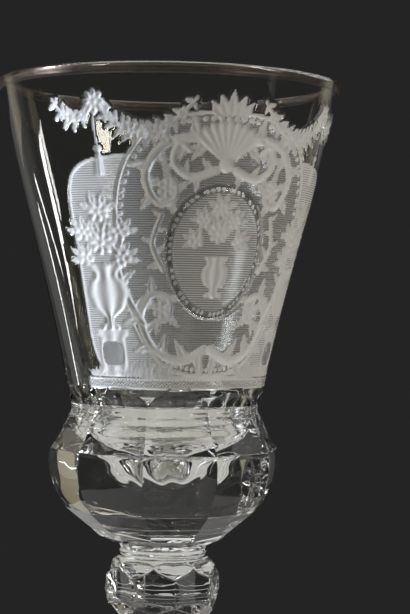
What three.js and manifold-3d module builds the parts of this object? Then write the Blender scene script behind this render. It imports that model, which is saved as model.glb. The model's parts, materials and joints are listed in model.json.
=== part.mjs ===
// A cut-glass goblet: a funnel bowl whose waist is fluted and whose base is a solid faceted cushion,
// a faceted knop and an inverted baluster between small collars, and a round foot.
// Millimetres, +Z up, the front of the goblet towards -Y, origin in the middle of the foot's underside.

import * as THREE from 'three';
import { mergeVertices, toCreasedNormals } from 'three/addons/utils/BufferGeometryUtils.js';
import Module from 'manifold-3d';

const wasm = await Module();
wasm.setup();

// Heights above the table, from the foot up: each piece stands on the one below it
const footTop = 19;
const footCollarTop = 22;
const balusterTop = 52;
const knopCollarTop = 55;
const knopTop = 74.8;
const bowlBase = 79;
const shoulder = 106.5; // sharp edge between the waist and the cushion
const fluteTop = 124.2; // crown of each flute's arch in the funnel
const lip = 213.4;

// Funnel
const lipRadius = 50.1;
const fluteTopRadius = 28.8;
const funnelBow = 0.4; // the blown wall stands in from a straight line low down, out from it high up
const lipWall = 2.3;
const lipRounding = 0.7;
const hollowBottom = 98.5;
const hollowStart = 130; // where the hollow's rounded bottom turns into its funnel
const hollowStartWall = 4.2; // the wall thickens from the lip down to here

// Cutting: the cushion and the waist share one set of sides, the knop and the baluster another
const cushionSides = 10;
const cushionTurn = -9; // azimuth of one ridge, right of the front, in degrees
const stemSides = 8;
const stemTurn = -31.5;
const cushionRidge = 33.95; // axis to ridge at the widest part of the cushion
const knopRidge = 17.2;

// Collars and foot
const neckCollarRadius = 13.4;
const knopCollarRadius = 14;
const footCollarRadius = 11.6;
const footRadius = 51;
const standingRingInner = 41;

// Gilding: a thin skin over the lip, let into the glass
const gildingDrop = 3.2;
const gildingInnerDrop = 1.8;
const gildingThickness = 0.25;
const gildingGap = 0.05;

const roundSides = 60;
const wallSteps = 8;
const sharpEdge = 14; // degrees between two faces from which their edge is drawn sharp
const clearGlass = '#dfe4de';
const wornGold = '#b08a5c';

// The funnel's outside: a slow S about a straight line
function funnelRadius(z) {
  const climb = (z - fluteTop) / (lip - fluteTop);
  const bow = climb > 0 ? funnelBow * Math.sin(2 * Math.PI * climb) : 0;
  return fluteTopRadius + (lipRadius - fluteTopRadius) * climb - bow;
}

function hollowRadius(z) {
  const fall = (lip - z) / (lip - hollowStart);
  return funnelRadius(z) - lipWall - (hollowStartWall - lipWall) * fall ** 2;
}

// A wall's [radius, z] points between two heights
function wallPoints(radiusAt, from, to) {
  return Array.from({ length: wallSteps + 1 }, (_, k) => {
    const z = from + (to - from) * k / wallSteps;
    return [radiusAt(z), z];
  });
}

// The section of the lip at a depth under its gilded surface: up the outside, over the top, down the inside
function lipSection(depth) {
  const rebate = lip - gildingDrop;
  const innerRebate = lip - gildingInnerDrop;
  const bevel = lip - lipRounding;
  return [
    [funnelRadius(rebate) - depth, rebate],
    [funnelRadius(bevel) - depth, bevel],
    [lipRadius - lipRounding, lip - depth],
    [lipRadius - lipWall + lipRounding, lip - depth],
    [hollowRadius(bevel) + depth, bevel],
    [hollowRadius(innerRebate) + depth, innerRebate],
  ];
}

// A smooth curve through a few [radius, z] points, as a list of [radius, z] points
function curveThrough(points, steps) {
  const curve = new THREE.SplineCurve(points.map(([r, z]) => new THREE.Vector2(r, z)));
  return curve.getPoints(steps).map((point) => [point.x, point.y]);
}

// The surface of revolution of a [radius, z] outline about the upright axis, flat-sided where sides are few
function turned(outline, sides = roundSides, turn = 0) {
  const points = outline.map(([r, z]) => new THREE.Vector2(Math.max(r, 0), z));
  const geometry = new THREE.LatheGeometry(points, sides, THREE.MathUtils.degToRad(turn));
  return geometry.rotateX(Math.PI / 2);
}

function toSolid(geometry) {
  const bare = geometry.clone();
  bare.deleteAttribute('normal');
  bare.deleteAttribute('uv');
  const merged = mergeVertices(bare);
  const index = merged.index.array;
  const corners = [];
  for (let i = 0; i < index.length; i += 3) {
    const [a, b, c] = index.subarray(i, i + 3);
    if (a !== b && b !== c && c !== a) corners.push(a, b, c);
  }
  const vertProperties = merged.attributes.position.array;
  const triVerts = new Uint32Array(corners);
  return new wasm.Manifold(new wasm.Mesh({ numProp: 3, vertProperties, triVerts }));
}

function toGeometry(solid) {
  const mesh = solid.getMesh();
  const geometry = new THREE.BufferGeometry();
  geometry.setAttribute('position', new THREE.BufferAttribute(mesh.vertProperties, 3));
  geometry.setIndex(new THREE.BufferAttribute(mesh.triVerts, 1));
  return geometry;
}

function piece(name, geometry, colour = clearGlass, roughness = 0.05, metalness = 0) {
  const material = new THREE.MeshStandardMaterial({ color: colour, roughness, metalness });
  const creased = toCreasedNormals(geometry, THREE.MathUtils.degToRad(sharpEdge));
  const mesh = new THREE.Mesh(creased, material);
  mesh.name = name;
  return mesh;
}

// Bowl

// The blown blank: the funnel, and below it plain stock that the cutting takes off everywhere
function bowlBlank() {
  const stock = cushionRidge + 3;
  const funnelEnd = 119.6;
  return toSolid(turned([
    [0, bowlBase],
    [stock, bowlBase],
    [stock, funnelEnd - 4],
    [funnelRadius(funnelEnd), funnelEnd],
    ...wallPoints(funnelRadius, fluteTop, lip - gildingDrop),
    ...lipSection(gildingThickness + gildingGap).slice(0, 3),
    [0, lip - gildingThickness - gildingGap],
  ]));
}

// What the wheel leaves: flat-sided flutes round the waist, tall bellied facets on the cushion and
// stepped rows of short facets under them. Radii are those of the ridges.
function bowlCutting() {
  const waist = curveThrough([
    [fluteTopRadius / Math.cos(Math.PI / cushionSides), fluteTop],
    [28.75, 121.9],
    [27.75, 120],
    [27.6, 118],
    [28.2, 116.3],
    [29.4, 114.2],
    [30.7, 110.9],
    [33.5, shoulder],
  ], 14);
  const facets = curveThrough([
    [33.6, shoulder],
    [cushionRidge, 102],
    [32.5, 95.8],
    [28.6, 89],
  ], 10);
  return toSolid(turned([
    [0, bowlBase - 1],
    [13, bowlBase - 1],
    [14.4, bowlBase],
    [18.8, 80.8],
    [21.4, 83.2],
    [23.6, 84.9],
    ...facets.reverse(),
    ...waist.reverse().slice(1),
    [fluteTopRadius + 5, fluteTop + 5],
    [lipRadius + 6, fluteTop + 10],
    [lipRadius + 6, lip + 1],
    [0, lip + 1],
  ], cushionSides, cushionTurn));
}

// The hollow: a funnel that closes in a rounded bottom below the shoulder
function bowlHollow() {
  const bottom = curveThrough([
    [0, hollowBottom],
    [9, 99.8],
    [15, 103.2],
    [19.6, 109.5],
    [22.8, 119.5],
    [hollowRadius(hollowStart), hollowStart],
  ], 20);
  const lipInside = lipSection(gildingThickness + gildingGap).slice(3).reverse();
  return toSolid(turned([
    ...bottom,
    ...wallPoints(hollowRadius, hollowStart, lip - gildingInnerDrop).slice(1),
    ...lipInside,
    [lipInside.at(-1)[0], lip + 2],
    [0, lip + 2],
  ]));
}

function bowl() {
  const solid = bowlBlank().intersect(bowlCutting()).subtract(bowlHollow());
  return piece('bowl', toGeometry(solid));
}

function rimGilding() {
  const outer = lipSection(0);
  const inner = lipSection(gildingThickness).reverse();
  return piece('rim_gilding', turned([...outer, ...inner, outer[0]]), wornGold, 0.35, 0.8);
}

// Stem

// A pressed collar with two fine rings round it
function neckCollar() {
  const r = neckCollarRadius;
  return piece('neck_collar', turned([
    [0, knopTop],
    [r - 0.6, knopTop],
    [r - 0.2, knopTop + 0.5],
    [r - 0.9, knopTop + 1.1],
    [r - 0.5, knopTop + 1.7],
    [r - 1, knopTop + 2.5],
    [r - 0.5, bowlBase - 0.8],
    [r, bowlBase],
    [0, bowlBase],
  ]));
}

// A solid knop: a belt of eight upright facets, and above and below it eight sloping facets that stand
// half a side round from them, so that their edges meet in a zigzag. The slopes run out on a round neck.
function knop() {
  const middle = 65.4;
  const toFlat = Math.cos(Math.PI / stemSides);
  const blank = toSolid(turned([
    [0, knopCollarTop],
    [10.4, knopCollarTop],
    [11.2, knopCollarTop + 0.6],
    [14, knopCollarTop + 1.6],
    [20, 60],
    [20, 69],
    [15.5, knopTop - 1.6],
    [13.2, knopTop - 0.5],
    [12.8, knopTop],
    [0, knopTop],
  ]));
  const belt = toSolid(turned([
    [0, knopCollarTop - 1],
    [16, knopCollarTop - 1],
    [16.3, 61],
    [knopRidge, middle],
    [16.8, 70],
    [16.4, knopTop + 1],
    [0, knopTop + 1],
  ], stemSides, stemTurn));
  const slopes = toSolid(turned([
    [0, knopCollarTop - 1],
    [10 / toFlat, knopCollarTop - 1],
    [10.7 / toFlat, knopCollarTop],
    [13.7 / toFlat, 59.2],
    [17 / toFlat, 62.2],
    [21 / toFlat, middle],
    [17 / toFlat, 69.4],
    [14.7 / toFlat, 71.9],
    [13.7 / toFlat, 73.7],
    [13.3 / toFlat, knopTop],
    [13.3 / toFlat, knopTop + 1],
    [0, knopTop + 1],
  ], stemSides, stemTurn + 180 / stemSides));
  return piece('knop', toGeometry(blank.intersect(belt).intersect(slopes)));
}

function knopCollar() {
  const r = knopCollarRadius;
  return piece('knop_collar', turned([
    [0, balusterTop],
    [r - 3, balusterTop],
    [r - 0.5, balusterTop + 1],
    [r, balusterTop + 1.6],
    [r - 0.6, balusterTop + 2.1],
    [r - 3.4, knopCollarTop],
    [0, knopCollarTop],
  ]));
}

// An inverted baluster: broad shoulder at the top, long taper, small flare at the foot
function baluster() {
  const flank = curveThrough([
    [8.6, footCollarTop],
    [7.2, 25.2],
    [8.3, 32],
    [12, 43],
    [13.6, 47.6],
    [12.2, 50.6],
    [10.4, balusterTop],
  ], 18);
  return piece('baluster', turned([
    [0, footCollarTop],
    ...flank,
    [0, balusterTop],
  ], stemSides, stemTurn));
}

function footCollar() {
  const r = footCollarRadius;
  return piece('foot_collar', turned([
    [0, footTop],
    [r - 2, footTop],
    [r - 0.4, footTop + 0.9],
    [r, footTop + 1.5],
    [r - 0.4, footTop + 2.1],
    [r - 2.6, footCollarTop],
    [0, footCollarTop],
  ]));
}

// A round foot rising in a low dome; its underside is hollowed so that it stands on a flat outer ring
function foot() {
  const dome = curveThrough([
    [footRadius - 1.2, 3.8],
    [38, 5.6],
    [24, 8.8],
    [14, 13.2],
    [10.4, 16.8],
    [9.8, footTop],
  ], 11);
  return piece('foot', turned([
    [0, 3.4],
    [20, 2.4],
    [standingRingInner, 0],
    [footRadius - 1, 0],
    [footRadius, 1],
    [footRadius, 2.8],
    ...dome,
    [0, footTop],
  ]));
}

const goblet = new THREE.Group();
goblet.name = 'goblet';
goblet.add(
  foot(), footCollar(), baluster(), knopCollar(), knop(), neckCollar(), bowl(), rimGilding(),
);

export default goblet;
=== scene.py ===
import bpy
import json
import math
import numpy as np
from mathutils import Matrix, Quaternion, Vector

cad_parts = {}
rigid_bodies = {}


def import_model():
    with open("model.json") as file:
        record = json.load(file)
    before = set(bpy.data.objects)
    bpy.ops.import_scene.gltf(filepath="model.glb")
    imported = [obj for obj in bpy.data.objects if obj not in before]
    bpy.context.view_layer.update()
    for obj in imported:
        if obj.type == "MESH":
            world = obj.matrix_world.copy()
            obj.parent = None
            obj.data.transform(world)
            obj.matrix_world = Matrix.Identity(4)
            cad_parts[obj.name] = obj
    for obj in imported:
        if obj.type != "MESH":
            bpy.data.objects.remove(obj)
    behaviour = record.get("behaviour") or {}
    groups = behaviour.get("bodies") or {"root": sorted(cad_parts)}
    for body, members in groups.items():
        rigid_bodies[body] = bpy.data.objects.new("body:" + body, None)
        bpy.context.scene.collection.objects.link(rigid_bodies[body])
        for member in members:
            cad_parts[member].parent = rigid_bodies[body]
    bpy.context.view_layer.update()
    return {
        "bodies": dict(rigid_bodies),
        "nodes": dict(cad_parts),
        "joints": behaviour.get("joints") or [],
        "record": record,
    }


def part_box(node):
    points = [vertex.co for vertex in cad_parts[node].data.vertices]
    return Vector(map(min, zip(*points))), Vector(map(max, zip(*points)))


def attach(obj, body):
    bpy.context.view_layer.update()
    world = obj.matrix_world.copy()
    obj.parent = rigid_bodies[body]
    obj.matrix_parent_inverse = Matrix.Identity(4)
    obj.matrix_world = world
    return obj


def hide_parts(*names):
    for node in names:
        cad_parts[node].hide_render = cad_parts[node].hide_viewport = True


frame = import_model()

mm = 0.001  # every size below is in millimetres until a mesh is made


def heightOf(node, end):  # lowest (0) or highest (1) point of a CAD node
    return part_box(node)[end].z / mm


# Camera: level, half a metre off, at the height of the lower funnel, the picture rolled about a degree

cameraSet = {
    "lens": 103.7,
    "sensor": 36.0,
    "distance": 520.0,
    "height": 148.0,
    "sideways": 11.25,  # the goblet stands left of the picture's middle
    "roll": 0.85,  # degrees
}


def makeCamera():
    data = bpy.data.cameras.new("camera")
    data.lens = cameraSet["lens"]
    data.sensor_width = cameraSet["sensor"]
    data.clip_start = 0.01
    camera = bpy.data.objects.new("camera", data)
    place = Vector((cameraSet["sideways"], -cameraSet["distance"], cameraSet["height"])) * mm
    level = Matrix.Rotation(math.radians(90), 4, "X")
    roll = Matrix.Rotation(math.radians(cameraSet["roll"]), 4, "Z")
    camera.matrix_world = Matrix.Translation(place) @ level @ roll
    bpy.context.scene.collection.objects.link(camera)
    bpy.context.scene.camera = camera


makeCamera()


# Materials

def linearColour(hexCode):
    channels = [int(hexCode[i:i + 2], 16) / 255 for i in (1, 3, 5)]
    return [c / 12.92 if c <= 0.04045 else ((c + 0.055) / 1.055) ** 2.4 for c in channels] + [1.0]


def addNode(tree, kind, settings=None, **inputs):
    node = tree.nodes.new(kind)
    for key, value in (settings or {}).items():
        setattr(node, key, value)
    for key, value in inputs.items():
        name = int(key[1:]) if key[0] == "i" and key[1:].isdigit() else key.replace("_", " ")
        if isinstance(value, bpy.types.NodeSocket):
            tree.links.new(value, node.inputs[name])
        else:
            node.inputs[name].default_value = value
    return node


def newMaterial(name):
    material = bpy.data.materials.new(name)
    material.use_nodes = True
    material.node_tree.nodes.clear()
    return material, material.node_tree


def finishMaterial(material, tree, shader):
    addNode(tree, "ShaderNodeOutputMaterial", Surface=shader)
    return material


glassSet = {
    "tint": "#fbfbf6",
    "ior": 1.52,
    "polish": 0.0,
    "mattCover": 0.85,  # share of the light that ground glass scatters back
    "mattRoughness": 0.5,
    "linePitch": 0.62,  # mm between the lines ruled across a field
    "lineStrength": 0.16,  # how far the ruled lines raise and lower the mattness
}


def clearPotashGlass():  # blown and polished: seen only by its bent background and its bright edges
    material, tree = newMaterial("polished_potash_glass")
    glass = addNode(
        tree, "ShaderNodeBsdfPrincipled",
        Base_Color=linearColour(glassSet["tint"]), Roughness=glassSet["polish"],
        IOR=glassSet["ior"], Transmission_Weight=1.0,
    )
    return finishMaterial(material, tree, glass.outputs["BSDF"])


def engravedGlass():  # ground matt where the wheel has cut: a soft grey that catches every light
    material, tree = newMaterial("wheel_engraved_glass")
    matt = addNode(tree, "ShaderNodeAttribute", {"attribute_name": "matt"})
    lines = addNode(tree, "ShaderNodeAttribute", {"attribute_name": "lines"})
    place = addNode(tree, "ShaderNodeTexCoord")
    split = addNode(tree, "ShaderNodeSeparateXYZ", Vector=place.outputs["Object"])
    wave = addNode(tree, "ShaderNodeMath", {"operation": "SINE"}, i0=addNode(
        tree, "ShaderNodeMath", {"operation": "MULTIPLY"}, i0=split.outputs["Z"],
        i1=2 * math.pi / (glassSet["linePitch"] * mm)).outputs["Value"])
    drawn = addNode(tree, "ShaderNodeMath", {"operation": "MULTIPLY"}, i0=wave.outputs["Value"],
                    i1=lines.outputs["Fac"])
    ground = addNode(tree, "ShaderNodeMath", {"operation": "MULTIPLY_ADD", "use_clamp": True},
                     i0=drawn.outputs["Value"], i1=glassSet["lineStrength"], i2=matt.outputs["Fac"])
    clearness = addNode(tree, "ShaderNodeMapRange", Value=ground.outputs["Value"],
                        To_Min=1.0, To_Max=1 - glassSet["mattCover"])
    rough = addNode(tree, "ShaderNodeMapRange", Value=ground.outputs["Value"],
                    To_Min=0.0, To_Max=glassSet["mattRoughness"])
    glass = addNode(
        tree, "ShaderNodeBsdfPrincipled",
        Base_Color=linearColour(glassSet["tint"]), IOR=glassSet["ior"],
        Roughness=rough.outputs["Result"], Transmission_Weight=clearness.outputs["Result"],
    )
    return finishMaterial(material, tree, glass.outputs["BSDF"])


def fusedJoint():  # two gathers melted into one leave no surface, so the eye sees nothing there
    material, tree = newMaterial("fused_glass_joint")
    clear = addNode(tree, "ShaderNodeBsdfTransparent", Color=(1, 1, 1, 1))
    return finishMaterial(material, tree, clear.outputs["BSDF"])


gildingLook = {
    "colour": "#b09a8a",
    "metallic": 0.6,
    "roughness": 0.3,
    "patchScale": 90.0,  # per metre, so the largest patches are about 11 mm across
    "patchDetail": 5.0,
    "patchRoughness": 0.65,
    "patchRange": [0.38, 0.62],  # noise between which the leaf goes from thin to thick
    "patchCover": [0.02, 0.11],  # share of the light that the thin and the thick leaf stop
    "borderHeight": [0.15, 0.4],  # mm above the lower edge, between which the thicker line there fades
    "borderCover": 0.16,
}


def wornGilding():  # fired gold leaf rubbed thin: dull tan where it is thick, bare glass where it has gone
    look = gildingLook
    material, tree = newMaterial("worn_fired_gilding")
    place = addNode(tree, "ShaderNodeTexCoord")
    patches = addNode(tree, "ShaderNodeTexNoise", Vector=place.outputs["Object"], Scale=look["patchScale"],
                      Detail=look["patchDetail"], Roughness=look["patchRoughness"])
    thin = addNode(tree, "ShaderNodeMapRange", Value=patches.outputs["Fac"],
                   From_Min=look["patchRange"][0], From_Max=look["patchRange"][1],
                   To_Min=look["patchCover"][0], To_Max=look["patchCover"][1])
    split = addNode(tree, "ShaderNodeSeparateXYZ", Vector=place.outputs["Object"])
    start, end = [(heightOf("rim_gilding", 0) + rise) * mm for rise in look["borderHeight"]]
    border = addNode(tree, "ShaderNodeMapRange", Value=split.outputs["Z"], From_Min=start, From_Max=end,
                     To_Min=look["borderCover"], To_Max=0.0)
    cover = addNode(tree, "ShaderNodeMath", i0=thin.outputs["Result"], i1=border.outputs["Result"])
    gold = addNode(
        tree, "ShaderNodeBsdfPrincipled",
        Base_Color=linearColour(look["colour"]), Metallic=look["metallic"], Roughness=look["roughness"],
        Alpha=cover.outputs["Value"],
    )
    return finishMaterial(material, tree, gold.outputs["BSDF"])


materials = {
    "glass": clearPotashGlass(),
    "engraved": engravedGlass(),
    "joint": fusedJoint(),
    "gilding": wornGilding(),
}
print("materials ready")


# Meshes

def smoothCurve(points, steps):  # a curve through [radius, z] points, evenly stepped between them
    pts = np.array(points, float)
    at = np.linspace(0, len(pts) - 1, steps + 1)
    k = np.minimum(at.astype(int), len(pts) - 2)
    w = (at - k)[:, None]
    before, start, end, after = (pts[np.clip(k + d, 0, len(pts) - 1)] for d in (-1, 0, 1, 2))
    pull, push = (end - before) / 2, (after - start) / 2
    return ((2 * start - 2 * end + pull + push) * w ** 3
            + (-3 * start + 3 * end - 2 * pull - push) * w ** 2 + pull * w + start)


def onCurve(curve):  # radius at a height, read from a curve that climbs all the way
    return lambda z: np.interp(z, curve[:, 1], curve[:, 0])


def meshObject(name, verts, faces, slots, faceSlots=None, smooth=True):
    mesh = bpy.data.meshes.new(name)
    mesh.from_pydata((np.asarray(verts) * mm).tolist(), [], faces)
    for material in slots:
        mesh.materials.append(material)
    if faceSlots is not None:
        mesh.polygons.foreach_set("material_index", np.asarray(faceSlots, np.int32))
    mesh.polygons.foreach_set("use_smooth", np.full(len(mesh.polygons), smooth))
    mesh.validate()
    mesh.update()
    piece = bpy.data.objects.new(name, mesh)
    bpy.context.scene.collection.objects.link(piece)
    return piece


edgeEase = 0.15  # mm either side of a cut edge over which polishing has rounded it
ridgeSpread = 10  # degrees, divided by the number of sides: a strip beside each ridge
ridgeShares = [0.35, 0.7]  # where the extra columns stand in that strip
waveCount = 10  # waves added up for the unevenness of hand polishing
girth = 200  # mm, a nominal distance round a piece


def facetColumns(sides, turn, perFacet):  # azimuths in degrees, closer together beside each ridge
    step, spread = 360 / sides, ridgeSpread / sides
    beside = [spread * share for share in ridgeShares]
    inner = np.linspace(0, step, perFacet + 1)[1:-1]
    one = np.concatenate([[0], beside, inner, [step - gap for gap in beside[::-1]]])
    return np.concatenate([turn + step * k + one for k in range(sides)])


def facetScale(azimuth, sides, turn):  # radius of a flat side as a share of its ridge's
    half = math.pi / sides
    fromRidge = np.radians(np.mod(azimuth - turn, 360 / sides))
    return math.cos(half) / np.cos(fromRidge - half)


def acrossFacet(azimuth, sides, turn):  # 0 on the ridges, 1 in the middle of each side
    t = np.mod(azimuth - turn, 360 / sides) * sides / 360
    return 1 - (2 * t - 1) ** 2


def handWaves(azimuth, z, wavelength, depth, seed):  # the slow unevenness that hand polishing leaves
    chance = np.random.default_rng(seed)
    total = np.zeros(np.broadcast(azimuth, z).shape)
    for k in range(waveCount):
        turns = round(chance.normal() * girth / wavelength)
        slope, start = chance.normal(), chance.uniform(0, 6.3)  # 6 and 6.3 stand for one turn in radians
        total += np.sin(np.radians(azimuth) * turns + z * slope * 6 / wavelength + start)
    return total * depth / math.sqrt(waveCount)


def easedSteps(length, count):  # 0 to 1, with a step of edgeEase next to each end
    ease = min(edgeEase / max(length, 1e-6), 0.2)
    return np.concatenate([[0, ease], np.linspace(ease, 1 - ease, count + 1)[1:-1], [1 - ease, 1]])


def ringPoints(azimuth, radius, z):
    a = np.radians(azimuth)
    radius = np.broadcast_to(radius, a.shape)
    z = np.broadcast_to(z, a.shape)
    return np.stack([radius * np.sin(a), -radius * np.cos(a), z], 1)


def stackRings(columns, stretches):
    # each stretch is (low z, high z, steps, radius at a z); low and high may differ from column to column
    rings = []
    for low, high, count, radiusAt in stretches:
        length = float(np.min(np.asarray(high) - np.asarray(low)))
        for share in easedSteps(abs(length), count):
            z = low + (np.asarray(high) - low) * share
            rings.append(ringPoints(columns, radiusAt(z), z))
    return rings


def lathed(name, columns, rings, capRings, slots, capSlots):
    # rings from bottom to top, closed at both ends by cap rings and a middle point on the axis
    allRings = [*capRings[0], *rings, *capRings[1]]
    n = len(columns)
    verts = np.concatenate(allRings)
    faces, faceSlots = [], []
    for k in range(len(allRings) - 1):
        for i in range(n):
            j = (i + 1) % n
            faces.append((k * n + i, k * n + j, (k + 1) * n + j, (k + 1) * n + i))
            faceSlots.append(0)
    bottom, top = len(verts), len(verts) + 1
    last = (len(allRings) - 1) * n
    verts = np.concatenate([verts, [[0, 0, allRings[0][0][2]], [0, 0, allRings[-1][0][2]]]])
    for i in range(n):
        j = (i + 1) % n
        faces += [(bottom, j, i), (top, last + i, last + j)]
        faceSlots += [capSlots[0], capSlots[1]]
    return meshObject(name, verts, faces, slots, faceSlots)


def finishPiece(piece, nodes):
    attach(piece, "root")
    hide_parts(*nodes)
    return piece


# Stem: solid pieces that meet on fused faces

stemSet = {
    "sides": 8,
    "turn": -31.5,
    "perFacet": 8,
    "roundColumns": 128,
    "jointRadius": {"neck": 12.3, "knopTop": 11.9, "knopFoot": 10.0, "balusterTop": 9.2, "balusterFoot": 7.6,
                    "footTop": 8.8},
}


def turnedPiece(name, outline, joints):
    # outline is [radius, z] from bottom to top; the discs inside the joint radii are fused to the neighbours
    columns = np.linspace(0, 360, stemSet["roundColumns"], endpoint=False)
    points = np.array(outline, float)
    rings = []
    for k in range(len(points) - 1):
        length = np.linalg.norm(points[k + 1] - points[k])
        for share in easedSteps(length, 2)[:-1]:
            r, z = points[k] + (points[k + 1] - points[k]) * share
            rings.append(ringPoints(columns, r, z))
    rings.append(ringPoints(columns, *points[-1]))
    caps = ([ringPoints(columns, joints[0], points[0][1])], [ringPoints(columns, joints[1], points[-1][1])])
    return lathed(name, columns, rings, caps, [materials["glass"], materials["joint"]], (1, 1))


collarSet = {"neckRadius": 13.4, "knopRadius": 14, "footRadius": 11.6}


def neckCollar():
    low, high = heightOf("neck_collar", 0), heightOf("neck_collar", 1)
    r = collarSet["neckRadius"]
    piece = turnedPiece("neck_collar_glass", [
        [r - 0.6, low],
        [r - 0.2, low + 0.5],
        [r - 0.9, low + 1.1],
        [r - 0.5, low + 1.7],
        [r - 1, low + 2.5],
        [r - 0.5, high - 0.8],
        [r, high],
    ], (stemSet["jointRadius"]["knopTop"], stemSet["jointRadius"]["neck"]))
    return finishPiece(piece, ["neck_collar"])


knopSet = {
    "belt": [[16.0, 55.0], [16.3, 61.0], [17.2, 65.4], [16.8, 70.0], [16.4, 74.8]],  # ridge radius, height
    "slopeLow": [[10.7, 55.0], [13.7, 59.2], [17.0, 62.2]],  # middle of each sloping side
    "slopeHigh": [[17.0, 69.4], [14.7, 71.9], [13.7, 73.7], [13.3, 74.8]],
    "neckLow": [[10.4, 55.0], [11.2, 55.6], [14.0, 56.6]],  # round ends that the sides run out on
    "neckHigh": [[16.4, 72.2], [14.2, 74.0], [12.9, 74.8]],
    "creases": [63.4, 65.4],  # heights where one cut of the belt meets the next
    "creaseHollow": 0.07,
    "bandEnds": [3, 4],  # mm below and above the creases where their cuts begin and end
    "sideHollow": 0.03,  # how far each side is hollowed, as a share of its radius
    "beltHollowAt": [61, 63, 67, 70],  # heights where that hollow starts, is full, is still full and ends
    "slopeHollowAt": [56.5, 58.5, 60.5, 61.5, 69.8, 71, 72.6, 74],  # the same on the lower and upper slopes
    "waves": [9.0, 0.07],  # length and depth of the unevenness
    "waveSeed": 3,
}


def knopPiece():
    k, joint = knopSet, stemSet["jointRadius"]
    sides, turn = stemSet["sides"], stemSet["turn"]
    columns = facetColumns(sides, turn, stemSet["perFacet"])
    beltScale = facetScale(columns, sides, turn)
    slopeScale = facetScale(columns, sides, turn + 180 / sides) / math.cos(math.pi / sides)
    curve = {key: onCurve(np.array(k[key]))
             for key in ("belt", "slopeLow", "slopeHigh", "neckLow", "neckHigh")}
    low, middle, high = k["belt"][0][1], k["belt"][2][1], k["belt"][-1][1]

    def crossing(start, end, inner, outer):  # the height where the inner surface passes out of the outer one
        z = np.linspace(start, end, 600)[:, None]
        return z[np.argmax(inner(z) > outer(z), axis=0), 0]

    middleShare = acrossFacet(columns, sides, turn)
    creases = k["creases"]
    bands = [creases[0] - k["bandEnds"][0], *creases, creases[-1] + k["bandEnds"][1]]
    uneven = lambda z: handWaves(columns, z, *k["waves"], k["waveSeed"]) - k["waves"][1]
    cut = lambda z: k["creaseHollow"] * np.abs(np.sin(math.pi * np.interp(z, bands, range(len(bands)))))
    hollow = lambda z: 1 - k["sideHollow"] * middleShare * np.interp(z, k["beltHollowAt"], [0, 1, 1, 0])
    belt = lambda z: (curve["belt"](z) - cut(z)) * beltScale * hollow(z) + uneven(z)
    slopeShare = acrossFacet(columns, sides, turn + 180 / sides)
    slopeHollow = lambda z: 1 - k["sideHollow"] * slopeShare * np.interp(
        z, k["slopeHollowAt"], [0, 1, 1, 0] * 2)
    slopeLow = lambda z: curve["slopeLow"](z) * slopeScale * slopeHollow(z) + uneven(z)
    slopeHigh = lambda z: curve["slopeHigh"](z) * slopeScale * slopeHollow(z) + uneven(z)
    neckLow = lambda z: curve["neckLow"](z) * np.ones_like(columns)
    neckHigh = lambda z: curve["neckHigh"](z) * np.ones_like(columns)
    lowNeck = crossing(low, middle, neckLow, slopeLow)
    lowEdge = crossing(low + 1, middle, slopeLow, belt)
    highNeck = crossing(high, middle, neckHigh, slopeHigh)
    highEdge = crossing(high - 1, middle, slopeHigh, belt)
    assert (lowNeck < lowEdge).all() and (highEdge < highNeck).all(), "the knop's cuts cross"
    rings = stackRings(columns, [
        (low, lowNeck, 3, neckLow),
        (lowNeck, lowEdge, 6, slopeLow),
        (lowEdge, creases[0], 4, belt),
        *[(start, end, 6, belt) for start, end in zip(creases, creases[1:])],
        (creases[-1], highEdge, 4, belt),
        (highEdge, highNeck, 6, slopeHigh),
        (highNeck, high, 3, neckHigh),
    ])
    caps = ([ringPoints(columns, joint["knopFoot"], low)], [ringPoints(columns, joint["knopTop"], high)])
    piece = lathed("knop_glass", columns, rings, caps, [materials["glass"], materials["joint"]], (1, 1))
    return finishPiece(piece, ["knop"])


def knopCollar():
    low, high = heightOf("knop_collar", 0), heightOf("knop_collar", 1)
    r = collarSet["knopRadius"]
    piece = turnedPiece("knop_collar_glass", [
        [r - 3, low],
        [r - 0.5, low + 1],
        [r, low + 1.6],
        [r - 0.6, low + 2.1],
        [r - 3.4, high],
    ], (stemSet["jointRadius"]["balusterTop"], stemSet["jointRadius"]["knopFoot"]))
    return finishPiece(piece, ["knop_collar"])


balusterSet = {
    "footRadius": 8.6,
    "flank": [[7.2, 25.2], [8.3, 32], [12, 43], [13.6, 47.6], [12.2, 50.6]],  # ridge radius, height
    "topRadius": 10.4,
}


def balusterPiece():
    low, high = heightOf("baluster", 0), heightOf("baluster", 1)
    columns = facetColumns(stemSet["sides"], stemSet["turn"], stemSet["perFacet"])
    scale = facetScale(columns, stemSet["sides"], stemSet["turn"])
    flank = smoothCurve([
        [balusterSet["footRadius"], low],
        *balusterSet["flank"],
        [balusterSet["topRadius"], high],
    ], 60)
    rings = [ringPoints(columns, r * scale, z) for r, z in flank]
    joint = stemSet["jointRadius"]
    caps = ([ringPoints(columns, joint["balusterFoot"], low)],
            [ringPoints(columns, joint["balusterTop"], high)])
    piece = lathed("baluster_glass", columns, rings, caps, [materials["glass"], materials["joint"]], (1, 1))
    return finishPiece(piece, ["baluster"])


def footCollar():
    low, high = heightOf("foot_collar", 0), heightOf("foot_collar", 1)
    r = collarSet["footRadius"]
    piece = turnedPiece("foot_collar_glass", [
        [r - 2, low],
        [r - 0.4, low + 0.9],
        [r, low + 1.5],
        [r - 0.4, low + 2.1],
        [r - 2.6, high],
    ], (stemSet["jointRadius"]["footTop"], stemSet["jointRadius"]["balusterFoot"]))
    return finishPiece(piece, ["foot_collar"])


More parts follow.
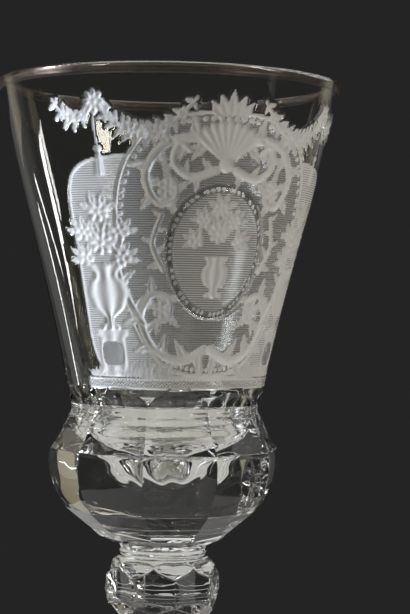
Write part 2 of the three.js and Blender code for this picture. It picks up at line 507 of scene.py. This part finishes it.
footSet = {
    "columns": 180,
    "under": [[6, 3.4], [20, 2.4], [41, 0]],  # radius, height
    "edge": [[1.4, 0], [0.2, 0.7], [0.02, 1.8], [0.25, 3.0], [1.5, 3.8]],  # mm in from the rim, height
    "dome": [[38, 5.6], [24, 8.8], [14, 13.2], [10.4, 16.8]],
    "topRadius": 9.8,
}


def footPiece():
    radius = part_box("foot")[1].x / mm
    high = heightOf("foot", 1)
    columns = np.linspace(0, 360, footSet["columns"], endpoint=False)
    rim = [[radius - inward, z] for inward, z in footSet["edge"]]
    under = smoothCurve(footSet["under"], 12)
    edge = smoothCurve(rim, 12)
    dome = smoothCurve([rim[-1], *footSet["dome"], [footSet["topRadius"], high]], 50)
    outline = np.concatenate([under, edge, dome[1:]])
    rings = [ringPoints(columns, r, z) for r, z in outline]
    joint = stemSet["jointRadius"]["footTop"]
    piece = lathed("foot_glass", columns, rings, ([], [ringPoints(columns, joint, high)]),
                   [materials["glass"], materials["joint"]], (0, 1))
    return finishPiece(piece, ["foot"])


footPiece()
footCollar()
balusterPiece()
knopCollar()
knopPiece()
neckCollar()
print("stem and foot ready")


# Bowl

bowlSet = {
    "sides": 10,
    "turn": -81.0,  # azimuth of one ridge
    "columnStep": 2.4,  # degrees between two columns of the mesh
    "backColumns": [12, 71],  # plain columns before and after the engraving, both ends counted
    "backRows": 16,  # rows of the engraving to one row of the plain wall
    "insideColumns": 120,
    "shoulder": 106.5,
    "shoulderRadius": [33.6, 33.5],  # under its edge and over it
    "facetFlank": [[33.95, 102], [32.5, 95.8]],  # ridge radius, height, downwards
    "waistFlank": [[28.75, 121.9], [27.75, 120], [27.6, 118], [28.2, 116.3], [29.4, 114.2], [30.7, 110.9]],
    "shortRows": [[14.4, 79.0], [18.8, 80.8], [21.4, 83.2], [23.6, 84.9], [28.6, 89.0]],  # ridges, from below
    "fluteTop": 124.2,
    "fluteTopRadius": 28.8,
    "archFoot": 118,  # the arches are looked for from the flutes' top down to this height
    "lipRadius": 50.1,
    "funnelBow": 0.4,  # the wall stands in from a straight line low down and out from it high up
    "lipWall": 2.3,
    "lipRounding": 0.7,
    "lipCorner": [0.25, 0.2],  # a point on that rounding: mm in from the wall and down from the top
    "underGilding": 210.1,  # height of the first plain ring above the engraving
    "hollowBottom": 98.5,
    "hollowFlank": [[9, 99.8], [15, 103.2], [19.6, 109.5], [22.8, 119.5]],  # radius, height, upwards
    "hollowStart": 130.0,
    "hollowStartWall": 4.2,
    "jointRadius": 12.3,
    "fluteHollow": 0.014,  # how far the flutes are hollowed and the facets swell, as shares of their radius
    "facetSwell": 0.012,
    "fluteHollowAt": [106.5, 110, 120, 124],  # heights where the hollow starts, is full, still full and ends
    "waves": [12.0, 0.03],  # length and depth of the unevenness outside
    "waveSeed": 5,
    "hollowWaves": [25.0, 0.3],  # the same in the bottom of the hollow
    "hollowWaveSeed": 9,
    "hollowWavesFade": [108, 122],  # heights between which that dies away
    "ripple": [3.3, 0.13],  # spacing and depth of the rings that the furnace tool left inside the waist
    "rippleAt": [101, 106, 121, 126],  # heights where they start, are full, are still full and end
    "creases": [113.4, 116.3, 118.6],  # heights where one cut of each flute meets the next
    "creaseHollow": 0.18,
    "skin": 0.06,  # how far the glass lies under its gilding
}


# Engraving: the wheel's cuts as a height field on the front of the funnel, drawn motif by motif.
# Traditional ornament only: a ruled panel, leaf scrolls round an oval with a vase of flowers, a shell,
# festoons, two standing vases and a strip of lattice.

engravingSet = {
    "axis": 22.5,  # azimuth of the design's middle
    "halfWidth": 68.0,  # degrees
    "columnStep": 0.5,
    "rowSteps": [[124.8, 128.0, 0.2], [128.4, 209.6, 0.4]],  # closer rows for the lattice strip
    "deepen": 1.5,  # what each cut's drawn depth is multiplied by
    "floor": 0.06,  # mm then added to it
}


def funnelRadius(z):  # outside of the gilt lip and the funnel: a slow S about a straight line
    b = bowlSet
    climb = (z - b["fluteTop"]) / (heightOf("rim_gilding", 1) - b["fluteTop"])
    bow = b["funnelBow"] * np.sin(2 * math.pi * np.maximum(climb, 0))
    return b["fluteTopRadius"] + (b["lipRadius"] - b["fluteTopRadius"]) * climb - bow


def hollowRadius(z):
    b = bowlSet
    top = heightOf("rim_gilding", 1)
    fall = (top - z) / (top - b["hollowStart"])
    return funnelRadius(z) - b["lipWall"] - (b["hollowStartWall"] - b["lipWall"]) * fall ** 2


def funnelWall(z):  # the polished glass, which lies a skin under its gilding
    return funnelRadius(z) - bowlSet["skin"]


def evenSteps(low, high, step):
    return np.linspace(low, high, round((high - low) / step) + 1)


gridTurn, gridHeight = np.meshgrid(
    evenSteps(-engravingSet["halfWidth"], engravingSet["halfWidth"], engravingSet["columnStep"]),
    np.concatenate([evenSteps(*part) for part in engravingSet["rowSteps"]]))
cuts = {key: np.zeros_like(gridTurn) for key in ("depth", "matt", "lines")}


def frameAt(turn, height, side=1):  # millimetres along the wall, outwards (or right) and up from a place
    return np.radians(gridTurn * side - turn) * funnelWall(height), gridHeight - height


def moved(frame, x, y, tilt=0.0):
    a = math.radians(tilt)
    dx, dy = frame[0] - x, frame[1] - y
    return dx * math.cos(a) + dy * math.sin(a), dy * math.cos(a) - dx * math.sin(a)


def grind(share, hollow, matt=0.95, lines=0.0, crisp=5.0):
    # share is 0 at a cut's edge and grows inwards, hollow is the drawn depth in mm
    # a later cut removes an earlier one
    edge = np.clip(share * crisp, 0, 1)
    depth = hollow * engravingSet["deepen"] + engravingSet["floor"]
    for key, value in (("depth", depth), ("matt", matt), ("lines", lines)):
        cuts[key] = cuts[key] * (1 - edge) + value * edge


def bowlShape(share):
    return np.sqrt(1 - (1 - share) ** 2)


def bead(frame, width, height, depth=0.4, matt=0.95):
    share = (1 - np.hypot(frame[0] / width, frame[1] / height)).clip(0)
    grind(share, depth * bowlShape(share), matt)


def leaf(frame, length, width, bend=0.0, depth=0.45, matt=0.95, lobes=0):
    # two hollows beside a sharp midrib, veined, its edge cut into lobes
    t = np.clip(frame[1] / length, 0, 1)
    across = np.abs(frame[0] - bend * length * t ** 2)
    lobed = 1 - 0.3 * np.abs(np.cos(np.pi * lobes * t)) * (lobes > 0)
    reach = width * np.sin(np.pi * t ** 0.75) * lobed + 1e-4
    share = (1 - across / reach).clip(0) * (frame[1] > 0) * (frame[1] < length)
    veins = np.cos(2 * np.pi * (frame[1] - across) / 1.3)
    grind(share, depth * np.sin(np.pi * share ** 0.85) * (0.78 + 0.22 * veins), matt * (0.9 + 0.1 * veins))


def flower(frame, radius, petals=6, depth=0.5, matt=0.95):
    turn = np.arctan2(frame[0], frame[1]) * petals / (2 * np.pi)
    between = np.abs(np.mod(turn + 0.5, 1) - 0.5) * 2
    share = (1 - np.hypot(*frame) / (radius * (1 - 0.32 * between ** 2.5))).clip(0)
    grind(share, depth * np.sin(np.pi * share ** 0.7) * (1 - 0.85 * between ** 2), matt)
    bead(frame, radius * 0.26, radius * 0.26, depth)


def stroke(frame, points, widths, depth=0.35, matt=0.95):  # a cut along a smooth path, in mm half widths
    path = smoothCurve(points, 7 * (len(points) - 1))
    wide = np.interp(np.linspace(0, 1, len(path)), np.linspace(0, 1, len(widths)), widths)
    reach = max(widths)
    near = np.ones(gridTurn.shape, bool)
    for axis in (0, 1):
        near &= (frame[axis] > path[:, axis].min() - reach) & (frame[axis] < path[:, axis].max() + reach)
    x, y = frame[0][near], frame[1][near]
    best = np.zeros_like(x)
    for (ax, ay), (bx, by), wa, wb in zip(path, path[1:], wide, wide[1:]):
        dx, dy = bx - ax, by - ay
        t = np.clip(((x - ax) * dx + (y - ay) * dy) / max(dx * dx + dy * dy, 1e-9), 0, 1)
        best = np.maximum(best, 1 - np.hypot(x - ax - t * dx, y - ay - t * dy) / (wa + (wb - wa) * t))
    share = np.zeros_like(gridTurn)
    share[near] = best
    grind(share, depth * bowlShape(share), matt)
    return path


def alongPath(path, count):  # places and directions evenly along a path
    for share in (np.arange(count) + 0.5) / count:
        k = min(int(share * (len(path) - 1)), len(path) - 2)
        (ax, ay), (bx, by) = path[k], path[k + 1]
        yield share, ax, ay, math.degrees(math.atan2(ax - bx, by - ay))


def leafScroll(frame, points, widths, count, length, depth=0.45, matt=0.95):
    for k, (share, x, y, tilt) in enumerate(alongPath(smoothCurve(points, 30), count)):
        side = 1 if k % 2 else -1
        size = length * (1 - 0.4 * share)
        leaf(moved(frame, x, y, tilt + side * 46), size, size * 0.3, -side * 0.35, depth, matt, 3)
    stroke(frame, points, widths, depth * 1.1, matt)


def ruledField(frame, width, height, power, depth, matt, lines):
    away = (np.abs(frame[0] / width) ** power + np.abs(frame[1] / height) ** power) ** (1 / power)
    share = (1 - away).clip(0)
    grind(share, depth * bowlShape(share), matt, lines, 40.0)


def ringPath(width, height, power=2.0, count=25):
    a = np.linspace(0, 2 * math.pi, count)
    c, d = np.cos(a), np.sin(a)
    scale = (np.abs(c) ** power + np.abs(d) ** power) ** (-1 / power)
    return np.stack([width * c * scale, height * d * scale], 1)


def standingVase(frame, profile, depth=0.55, matt=0.95):  # profile is [height, half width] from its foot up
    profile = np.array(profile, float)
    reach = np.interp(frame[1], profile[:, 0], profile[:, 1], left=0, right=0) + 1e-4
    share = (1 - np.abs(frame[0]) / reach).clip(0) * (reach > 0.01)
    ribs = 0.7 + 0.3 * np.cos(np.arcsin(np.clip(frame[0] / reach, -1, 1)) * 8)
    grind(share, depth * bowlShape(share) * ribs, matt)


def bouquet(frame, size, flowers):
    for x, y, radius, petals in flowers:
        for tilt in (-70, -25, 25, 70):
            outward = math.degrees(math.atan2(-x, y + size * 0.4))
            bend = 0.15 if tilt > 0 else -0.15
            leaf(moved(frame, x, y, outward + tilt), radius * 1.8, radius * 0.55, bend, lobes=2)
    for x, y, radius, petals in flowers:
        flower(moved(frame, x, y, radius * 40), radius, petals)


def shell(frame, radius, lobes, depth=0.6, matt=0.9):  # a fan of hollow lobes that opens upwards
    turn = np.arctan2(frame[0], frame[1]) / math.radians(104) + 0.5
    lobe = np.mod(turn * lobes, 1) * 2 - 1
    share = (1 - np.hypot(*frame) / (radius * (1 - 0.1 * lobe ** 2))).clip(0) * ((turn > 0) & (turn < 1))
    grind(share, depth * (1 - share) ** 0.5 * (1 - lobe ** 2) ** 0.6, matt, 0.0, 8.0)


def festoon(frame, start, end, sag, count, size):
    x = np.linspace(start[0], end[0], 9)
    t = np.linspace(-1, 1, 9)
    y = np.linspace(start[1], end[1], 9) - sag * (1 - t ** 2)
    path = stroke(frame, np.stack([x, y], 1), [0.5, 1.1, 0.5], 0.4)
    for k, (share, px, py, tilt) in enumerate(alongPath(path, count)):
        full = size * (0.65 + 0.5 * math.sin(math.pi * share))
        for side in (-1, 1):
            leaf(moved(frame, px, py, tilt + side * 42), full * 1.5, full * 0.5, -side * 0.3, lobes=2)
        if k % 3 == 1:
            flower(moved(frame, px, py), full * 0.85, 5)


def latticeStrip(low, high, pitch):
    x, y = np.radians(gridTurn) * funnelWall(low), gridHeight
    across = np.minimum(np.abs(np.mod((x + y) / pitch, 1) - 0.5), np.abs(np.mod((x - y) / pitch, 1) - 0.5))
    inside = ((y > low) & (y < high)).astype(float)
    grind(inside, 0.05, 0.25 + 0.6 * (across < 0.16), 0.0)
    for edge in (low, high):
        share = (1 - np.abs(y - edge) / 0.3).clip(0)
        grind(share, 0.15 * bowlShape(share), 0.8)


def grassTuft(frame, size, blades, seed):
    chance = np.random.default_rng(seed)
    for k in range(blades):
        tilt = chance.uniform(-58, 58)
        reach = size * chance.uniform(0.6, 1.0)
        leaf(moved(frame, chance.uniform(-0.35, 0.35) * size, 0, tilt), reach, 0.42, tilt / -160, 0.25, 0.85)


def drawDesign():
    ground = frameAt(0, 158.5)
    ruledField(ground, 40.4, 30.7, 7.0, 0.1, 0.62, 0.9)
    stroke(ground, ringPath(39.9, 30.2, 7.0, 61), [0.4], 0.2)
    middle = frameAt(0, 164.6)
    ruledField(middle, 29, 36.4, 2.6, 0.12, 0.36, 0.7)
    edge = stroke(middle, ringPath(28.4, 35.8, 2.6, 41), [0.55], 0.3)
    for share, x, y, tilt in alongPath(edge, 96):
        bead(moved(middle, x * 0.95, y * 0.955), 0.72, 0.72, 0.3)
    for side in (-1, 1):
        low, high = frameAt(0, 147, side), frameAt(0, 183, side)
        leafScroll(low, [[1, -11], [8, -14], [16, -11], [20, -3], [17, 4], [12, 3], [12, -2], [15, -3]],
                   [1.5, 1.2, 1.0, 0.8], 15, 7.0)
        leafScroll(low, [[19, -4], [23, 3], [25.5, 12], [24, 19]], [1.0, 0.6], 7, 6.0)
        leafScroll(high, [[4, 9], [10, 10.5], [18, 8], [22.5, 0], [19, -7], [14, -5.5], [14.5, -1], [17, -1]],
                   [1.6, 1.3, 1.0, 0.8], 15, 7.0)
        flower(moved(low, 14, 0), 2.9, 6)
        flower(moved(high, 16.5, -3), 3.0, 6)
        leafScroll(frameAt(0, 165, side), [[15.5, -7], [18.5, 0], [16, 8]], [0.9, 0.6], 5, 4.6)
    oval = frameAt(0, 163)
    ruledField(oval, 15, 18.6, 2.0, 0.5, 0.25, 0.0)
    stroke(oval, ringPath(14.2, 17.8), [0.8], 0.75, 0.15)
    ruledField(oval, 12.9, 16.4, 2.0, 0.22, 0.5, 1.0)
    for share, x, y, tilt in alongPath(ringPath(13.6, 17.1, 2.0, 61), 46):
        bead(moved(oval, x, y), 0.62, 0.62, 0.35)
    standingVase(moved(oval, 0, -12.5), [[0, 3.0], [1.0, 3.2], [1.6, 1.2], [2.6, 1.2], [3.6, 3.4], [6, 4.6],
                                         [8, 4.1], [9.2, 2.9], [10, 3.0], [10.8, 3.9], [11.3, 3.8]])
    bouquet(moved(oval, 0, 1.5), 9, [
        (-6.2, 1.5, 2.4, 5), (6.2, 1.5, 2.4, 5), (-4.3, 7, 2.3, 6), (4.3, 7, 2.3, 6),
        (0, 10.2, 2.5, 7), (0, 3.8, 3.3, 8),
    ])
    crest = frameAt(0, 186)
    shell(crest, 13.5, 9)
    bead(moved(crest, 0, 0.5), 2.6, 2.2, 0.6)
    for k in range(-2, 3):
        leaf(moved(crest, k * 1.2, 13.2, -k * 24), 7.6 - abs(k) * 1.1, 1.5, -k * 0.08)
    for side in (-1, 1):
        scroll = [[3, -1], [10, -3], [15, 1], [13.5, 6], [10.5, 4]]
        leafScroll(crest, [[side * x, y] for x, y in scroll], [1.3, 0.8], 8, 5.0)
        knotTurn = 47
        knot = frameAt(knotTurn, 203, side)
        festoon(frameAt(0, 198, side), (10, 6), (np.radians(knotTurn) * funnelWall(198), 5), 9, 12, 2.6)
        festoon(knot, (0, 0), (14, 1), 5, 6, 2.3)
        for tilt in (120, 240):
            leaf(moved(knot, 0, 0, tilt), 5.5, 1.6, 0.2)
        stroke(knot, [[0, 0], [0.6, -6], [0, -12]], [0.35, 0.35], 0.25)
        standingVase(moved(knot, 0, -19.5), [[0, 1.9], [4, 1.5], [6, 0.8], [7, 1.7], [8, 1.0]], 0.45)
        flower(knot, 3.6, 8)
        ground = frameAt(50, 128.3, side)
        standingVase(ground, [[0, 6.2], [1.6, 6.2], [2.0, 5.0], [11, 4.4], [11.4, 5.6], [13, 5.6]], 0.4)
        ruledField(moved(ground, 0, 6.4), 3.2, 3.4, 4.0, 0.35, 0.4, 0.0)
        standingVase(moved(ground, 0, 13), [
            [0, 3.4], [1, 3.2], [2, 1.3], [3.5, 1.5], [6, 5.0], [10, 6.6], [13, 5.6],
            [14.6, 3.6], [16, 3.8], [17.4, 5.4], [18, 5.2],
        ], 0.7)
        bouquet(moved(ground, 0, 32), 11, [
            (-4.6, 1, 2.6, 5), (4.6, 1, 2.6, 5), (-4.4, 8, 2.6, 6), (4.4, 8, 2.6, 6),
            (0, 13.5, 3.0, 7), (0, 5, 3.6, 8),
        ])
        for k, turn in enumerate((26, 34, 41, 61)):
            grassTuft(frameAt(turn, 128, side), 6.5 - k, 16, 10 * k + side + 1)
    latticeStrip(125.2, 127.7, 0.95)


drawDesign()
print("engraving drawn")


def joinRings(low, high, lowTurns, highTurns):
    # faces between two rings of different column counts, both sorted by azimuth
    # low and high are the rings' first indices
    faces, i, j = [], 0, 0
    n, m = len(lowTurns), len(highTurns)
    while i < n or j < m:
        nextLow = lowTurns[(i + 1) % n] + 360 * ((i + 1) // n)
        nextHigh = highTurns[(j + 1) % m] + 360 * ((j + 1) // m)
        if j == m or (i < n and nextLow <= nextHigh):
            faces.append((low + i % n, low + (i + 1) % n, high + j % m))
            i += 1
        else:
            faces.append((low + i % n, high + (j + 1) % m, high + j % m))
            j += 1
    return faces


def quadStrip(low, high, count):
    return [(low + i, low + (i + 1) % count, high + (i + 1) % count, high + i) for i in range(count)]


def bowlOutline():  # radii of the cut part by height, and the height at which each column's flute ends
    b = bowlSet
    columns = facetColumns(b["sides"], b["turn"], round(36 / b["columnStep"]))
    scale = facetScale(columns, b["sides"], b["turn"])
    facets = onCurve(smoothCurve([
        [b["shoulderRadius"][0], b["shoulder"]],
        *b["facetFlank"],
        b["shortRows"][-1],
    ], 40)[::-1])
    waist = onCurve(smoothCurve([
        [b["fluteTopRadius"] / math.cos(math.pi / b["sides"]), b["fluteTop"]],
        *b["waistFlank"],
        [b["shoulderRadius"][1], b["shoulder"]],
    ], 60)[::-1])
    z = np.linspace(b["fluteTop"] + 1, b["archFoot"], 800)
    arch = np.array([z[np.argmax(waist(z) * s < funnelWall(z) + 0.03)] for s in scale])
    middle = acrossFacet(columns, b["sides"], b["turn"])
    uneven = lambda z: handWaves(columns, z, *b["waves"], b["waveSeed"])
    hollow = lambda z: 1 - b["fluteHollow"] * middle * np.interp(z, b["fluteHollowAt"], [0, 1, 1, 0])
    levels = [b["shoulder"], *b["creases"]]

    def shortRow(foot, head):  # one row of short facets, straight from its lower ridge to its upper one
        return lambda z: np.interp(z, [foot[1], head[1]], [foot[0], head[0]]) * scale

    def fluteCut(low, high):  # one hollow band of the flutes between two creases
        def radiusAt(z):
            climb = (z - low) / (high - low)
            chord = waist(low) + (waist(high) - waist(low)) * climb
            base = waist(z) if low == b["shoulder"] else chord - b["creaseHollow"] * np.sin(math.pi * climb)
            return base * scale * hollow(z) + uneven(z)
        return radiusAt

    rings = stackRings(columns, [
        *[(foot[1], head[1], 3, shortRow(foot, head))
          for foot, head in zip(b["shortRows"], b["shortRows"][1:])],
        (b["shortRows"][-1][1], b["shoulder"], 28,
         lambda z: facets(z) * scale * (1 + b["facetSwell"] * middle) + uneven(z)),
        *[(low, high, 8, fluteCut(low, high)) for low, high in zip(levels, levels[1:])],
        (levels[-1], arch, 14, lambda z: waist(z) * scale * hollow(z) + uneven(z)),
        (arch, gridHeight[0, 0] - 0.2, 2, funnelWall),
    ])
    return columns, rings


def lipAndHollow(columns):
    b = bowlSet
    lip = heightOf("rim_gilding", 1) - b["skin"]
    innerLip = b["lipRadius"] - b["lipWall"]
    start = b["hollowStart"]
    edge = lip - b["lipRounding"]
    inward, drop = b["lipCorner"]
    inside = [edge, edge - 0.25, *np.linspace(edge - 1.5, start + 1, 15)]
    outline = [
        *[[funnelWall(z), z] for z in (b["underGilding"], edge - 0.25, edge)],
        [funnelWall(lip) - inward, lip - drop],
        [funnelWall(lip) - b["lipRounding"], lip],
        [innerLip + b["lipRounding"], lip],
        [innerLip + inward, lip - drop],
        *[[hollowRadius(z) + b["skin"], z] for z in inside],
        *smoothCurve([
            [1.5, b["hollowBottom"] + 0.02],
            *b["hollowFlank"],
            [hollowRadius(start), start],
        ], 85)[::-1],
    ]
    spacing, depth = b["ripple"]
    rings = []
    for r, z in outline:
        sag = np.interp(z, b["hollowWavesFade"], [1, 0]) * min(r / 6, 1)
        r += np.interp(z, b["rippleAt"], [0, 1, 1, 0]) * depth * math.sin(2 * math.pi * z / spacing)
        waves = handWaves(columns, r, *b["hollowWaves"], b["hollowWaveSeed"])
        rings.append(ringPoints(columns, r, z + sag * waves))
    return rings


def bowlPiece():
    b, e = bowlSet, engravingSet
    cutColumns, cutRings = bowlOutline()
    start = e["axis"] + gridTurn[0, 0]
    before = np.linspace(b["turn"], start, b["backColumns"][0])[:-1]
    after = np.linspace(e["axis"] + gridTurn[0, -1], b["turn"] + 360, b["backColumns"][1])[1:-1]
    wallColumns = np.concatenate([before, e["axis"] + gridTurn[0], after])
    insideColumns = np.linspace(b["turn"], b["turn"] + 360, b["insideColumns"], endpoint=False)
    rows, width = gridTurn.shape
    left, right = len(before), len(before) + width  # the engraved columns, right not among them
    verts, faces, slots = [], [], []

    def addPoints(points):
        verts.append(points)
        return sum(len(v) for v in verts) - len(points)

    def addFaces(new, slot=0):
        faces.extend(new)
        slots.extend([slot] * len(new))

    n = len(cutColumns)
    joint = addPoints(ringPoints(cutColumns, b["jointRadius"], cutRings[0][0][2]))
    middle = addPoints(np.array([[0, 0, cutRings[0][0][2]]]))
    addFaces([(middle, joint + (i + 1) % n, joint + i) for i in range(n)], 1)
    below = joint
    for ring in cutRings:
        ring = addPoints(ring)
        addFaces(quadStrip(below, ring, n))
        below = ring

    # the funnel's wall: a close grid under the engraving, wide columns round the back
    depth = np.pad(cuts["depth"], 1, mode="edge")
    depth = (depth[1:-1, 1:-1] * 2 + depth[:-2, 1:-1] + depth[2:, 1:-1]
             + depth[1:-1, :-2] + depth[1:-1, 2:]) / 6
    for border in (depth[0], depth[-1], depth[:, 0], depth[:, -1]):
        border[:] = 0
    wall = [ringPoints(wallColumns, funnelWall(z), z) for z in gridHeight[:, 0]]
    levels = [k for k in range(rows) if k % b["backRows"] == 0 or k == rows - 1]
    index = np.zeros((rows, len(wallColumns)), int)
    for k in range(rows):
        ring = wall[k]
        shrink = 1 - depth[k] / np.hypot(ring[left:right, 0], ring[left:right, 1])
        ring[left:right, :2] *= shrink[:, None]
        if k in levels:
            index[k] = addPoints(ring) + np.arange(len(ring))
        else:
            index[k, left:right] = addPoints(ring[left:right]) + np.arange(width)
    addFaces(joinRings(below, index[0, 0], cutColumns, wallColumns))
    grid = index[:, left:right]
    corners = np.stack([grid[:-1, :-1], grid[:-1, 1:], grid[1:, 1:], grid[1:, :-1]], -1).reshape(-1, 4)
    ground = (cuts["matt"] + cuts["lines"] > 0.02)
    ground = (ground[:-1, :-1] | ground[:-1, 1:] | ground[1:, 1:] | ground[1:, :-1]).reshape(-1)
    for slot, chosen in ((0, ~ground), (2, ground)):
        addFaces([tuple(c) for c in corners[chosen].tolist()], slot)
    loop = [*range(right, len(wallColumns)), *range(left)]
    for low, high in zip(levels, levels[1:]):
        ends = index[low:high + 1, right - 1].tolist()
        addFaces([(ends[0], index[low, right], index[high, right], *ends[:0:-1])])
        starts = index[low:high + 1, left].tolist()
        addFaces([(index[low, left - 1], *starts, index[high, left - 1])])
        addFaces([(index[low, i], index[low, j], index[high, j], index[high, i])
                  for i, j in zip(loop, loop[1:])])

    m = len(insideColumns)
    below = None
    for ring in lipAndHollow(insideColumns):
        ring = addPoints(ring)
        addFaces(joinRings(index[-1, 0], ring, wallColumns, insideColumns) if below is None
                 else quadStrip(below, ring, m))
        below = ring
    bottom = addPoints(np.array([[0, 0, verts[-1][0][2]]]))
    addFaces([(bottom, below + i, below + (i + 1) % m) for i in range(m)])

    faces = [tuple(int(v) for v in face) for face in faces]
    piece = meshObject("bowl_glass", np.concatenate(verts), faces,
                       [materials["glass"], materials["joint"], materials["engraved"]], slots)
    for key in ("matt", "lines"):
        values = np.zeros(len(piece.data.vertices), np.float32)
        values[grid.reshape(-1)] = cuts[key].reshape(-1)
        piece.data.attributes.new(key, "FLOAT", "POINT").data.foreach_set("value", values)
    return finishPiece(piece, ["bowl"])


gildingSet = {
    "outerDrops": [3.15, 1.6],  # mm below the top of the leaf's lower edge outside, and of a ring above it
    "innerDrop": 1.75,  # and of its lower edge inside
    "thickness": 0.03,
    "columns": 256,
}


def gildingPiece():
    b, g = bowlSet, gildingSet
    top = heightOf("rim_gilding", 1)
    innerLip = b["lipRadius"] - b["lipWall"]
    rounding = b["lipRounding"]
    inward, fall = b["lipCorner"]

    def section(depth):
        slant = depth * 0.7  # that depth along each axis, at the sloping corners
        return [
            *[[funnelRadius(top - drop) - depth, top - drop] for drop in (*g["outerDrops"], rounding)],
            [b["lipRadius"] - inward - slant, top - fall - slant],
            [b["lipRadius"] - rounding, top - depth],
            [innerLip + rounding, top - depth],
            [innerLip + inward + slant, top - fall - slant],
            *[[hollowRadius(top - drop) + depth, top - drop] for drop in (rounding, g["innerDrop"])],
        ]

    loop = section(0) + section(g["thickness"])[::-1]
    columns = np.linspace(0, 360, g["columns"], endpoint=False)
    n, m = len(columns), len(loop)
    verts = np.concatenate([ringPoints(columns, r, z) for r, z in loop])
    faces = [(k * n + i, k * n + (i + 1) % n, (k + 1) % m * n + (i + 1) % n, (k + 1) % m * n + i)
             for k in range(m) for i in range(n)]
    piece = meshObject("rim_gilding_leaf", verts, faces, [materials["gilding"]])
    return finishPiece(piece, ["rim_gilding"])


bowlPiece()
gildingPiece()
print("bowl and gilding ready")


# Stage: a small pale table board in a dark room, with tall soft boxes and cards round it

stageSet = {
    "board": [[-140.0, -320.0], [140.0, 300.0]],  # corners of the table board, which the picture leaves out
    "boardThickness": 12.0,
    "boardGap": 0.02,  # mm between the board and the foot
    "boardColour": "#d5d2cb",
    "boardRoughness": 0.9,
    "room": "#242424",
}


def makeFloor():
    (x0, y0), (x1, y1) = stageSet["board"]
    corners = [(x0, y0), (x1, y0), (x1, y1), (x0, y1)]
    verts = [(x, y, z) for z in (-stageSet["boardThickness"], -stageSet["boardGap"]) for x, y in corners]
    sides = [(k, (k + 1) % 4, (k + 1) % 4 + 4, k + 4) for k in range(4)]
    material, tree = newMaterial("pale_matt_board")
    shader = addNode(tree, "ShaderNodeBsdfPrincipled", Base_Color=linearColour(stageSet["boardColour"]),
                     Roughness=stageSet["boardRoughness"])
    finishMaterial(material, tree, shader.outputs["BSDF"])
    meshObject("floor", verts, [(3, 2, 1, 0), (4, 5, 6, 7), *sides], [material], smooth=False)


def makeRoom():
    world = bpy.data.worlds.new("room")
    bpy.context.scene.world = world
    world.use_nodes = True
    world.node_tree.nodes.clear()
    back = addNode(world.node_tree, "ShaderNodeBackground", Color=linearColour(stageSet["room"]),
                   Strength=1.0)
    addNode(world.node_tree, "ShaderNodeOutputWorld", Surface=back.outputs["Background"])


lampAim = 150.0  # mm above the table, the height that every lamp faces
nestedShares = [1.0, 0.72, 0.44]  # widths of the boxes that make up a graded card

# Azimuth and lean in degrees, distance and sizes in mm. Brightness 1 shows as plain white.
lampSet = {
    "left_window": dict(azimuth=-84, distance=1000, height=410, width=190, tall=500, brightness=56.0,
                        colour="#eaf1ff"),
    "right_window": dict(azimuth=58, distance=1000, height=575, width=180, tall=350, brightness=24.0,
                         colour="#fff9f0"),
    "ivory_card": dict(azimuth=72, distance=700, height=190, width=60, tall=260, brightness=1.0,
                       colour="#f6eccf", graded=True),
    "broad_strip": dict(azimuth=-104, distance=900, height=-25, width=50, tall=155, brightness=20.0, lean=18),
    "thin_strip": dict(azimuth=-124, distance=900, height=-25, width=16, tall=190, brightness=10.0, lean=40),
    "left_haze": dict(azimuth=-136, distance=800, height=20, width=540, tall=400, brightness=0.22,
                      colour="#f4f4f2", graded=True),
    "right_haze": dict(azimuth=140, distance=800, height=20, width=420, tall=400, brightness=0.3,
                       colour="#f4f4f2", graded=True),
    "ivory_card_behind_right": dict(azimuth=132, distance=900, height=230, width=210, tall=560,
                                    brightness=0.85, colour="#f8ebc8", graded=True),
    "ivory_card_behind_left": dict(azimuth=-134, distance=900, height=300, width=210, tall=340,
                                   brightness=0.8, colour="#f8ebc8", graded=True),
    "overhead": dict(azimuth=165, distance=250, height=950, width=900, tall=900, brightness=1.0),
}


def softBox(name, azimuth, distance, height, width, tall, brightness, colour="#ffffff", lean=0.0):
    # the box itself is kept out of the picture
    data = bpy.data.lights.new(name, "AREA")
    data.shape = "RECTANGLE"
    data.size, data.size_y = width * mm, tall * mm
    data.energy = brightness * math.pi * width * tall * mm * mm
    data.color = linearColour(colour)[:3]
    light = bpy.data.objects.new(name, data)
    a = math.radians(azimuth)
    place = Vector((distance * math.sin(a), -distance * math.cos(a), height)) * mm
    aim = Vector((0, 0, lampAim)) * mm - place
    light.location = place
    leaning = Quaternion((0, 0, 1), math.radians(lean))
    light.rotation_euler = (aim.to_track_quat("-Z", "Y") @ leaning).to_euler()
    light.visible_camera = False
    bpy.context.scene.collection.objects.link(light)


def gradedCard(name, azimuth, distance, height, width, tall, brightness, colour):
    # a reflector card that fades towards its edges, from nested boxes
    for k, share in enumerate(nestedShares):
        softBox(f"{name}_{k}", azimuth, distance, height, width * share, tall * (0.5 + 0.5 * share),
                brightness / len(nestedShares), colour)


def makeLamp(name, graded=False, **lamp):
    build = gradedCard if graded else softBox
    build(name, **lamp)


makeFloor()
makeRoom()
for lampName, lamp in lampSet.items():
    makeLamp(lampName, **lamp)

scene = bpy.context.scene
scene.view_settings.view_transform = "Standard"
scene.cycles.max_bounces = 32
scene.cycles.transmission_bounces = 32
scene.cycles.glossy_bounces = 12
scene.cycles.transparent_max_bounces = 32
print("stage ready")
